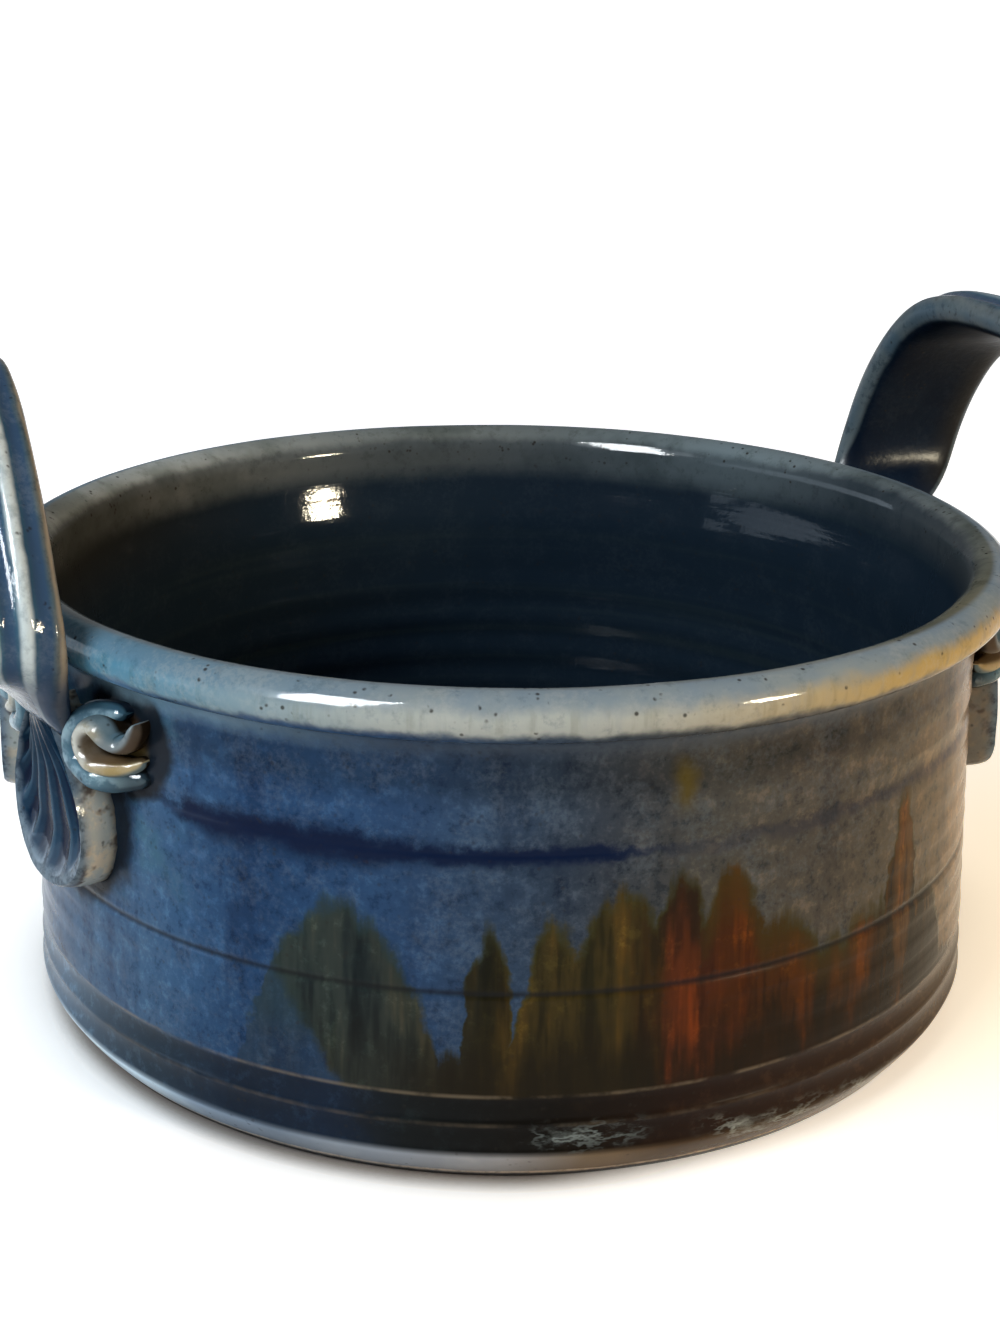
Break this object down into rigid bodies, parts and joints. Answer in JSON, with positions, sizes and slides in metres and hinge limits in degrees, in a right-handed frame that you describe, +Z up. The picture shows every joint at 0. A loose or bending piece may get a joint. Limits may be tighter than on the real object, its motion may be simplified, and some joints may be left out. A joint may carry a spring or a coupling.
{
  "type": "baking dish",
  "caption": "Round hand-thrown stoneware baking dish with a rolled rim and upright strap handles that end in ribbed shells between scrolls.",
  "frame": {"origin": "centre of the flat foot, on the table", "axes": "+Z up along the axis on which the dish was thrown, +X from the dish's middle towards the right handle, +Y towards the back"},
  "size_m": [0.2777, 0.2174, 0.1449],
  "materials": {
    "dish_glaze": "glossy mottled blue glaze",
    "strap_glaze": "glossy blue glaze, paler on the ridges",
    "shell_glaze": "glossy blue-grey glaze",
    "scroll_glaze": "glossy glaze broken to cream and brown"
  },
  "bodies": {
    "root": {"thrown_dish": "dish_glaze", "handle_strap_left": "strap_glaze", "handle_strap_right": "strap_glaze", "shell_left_front": "shell_glaze", "shell_left_rear": "shell_glaze", "shell_right_front": "shell_glaze", "shell_right_rear": "shell_glaze", "scroll_left_front_outer": "scroll_glaze", "scroll_left_front_inner": "scroll_glaze", "scroll_left_rear_outer": "scroll_glaze", "scroll_left_rear_inner": "scroll_glaze", "scroll_right_front_outer": "scroll_glaze", "scroll_right_front_inner": "scroll_glaze", "scroll_right_rear_outer": "scroll_glaze", "scroll_right_rear_inner": "scroll_glaze"}
  },
  "joints": []
}
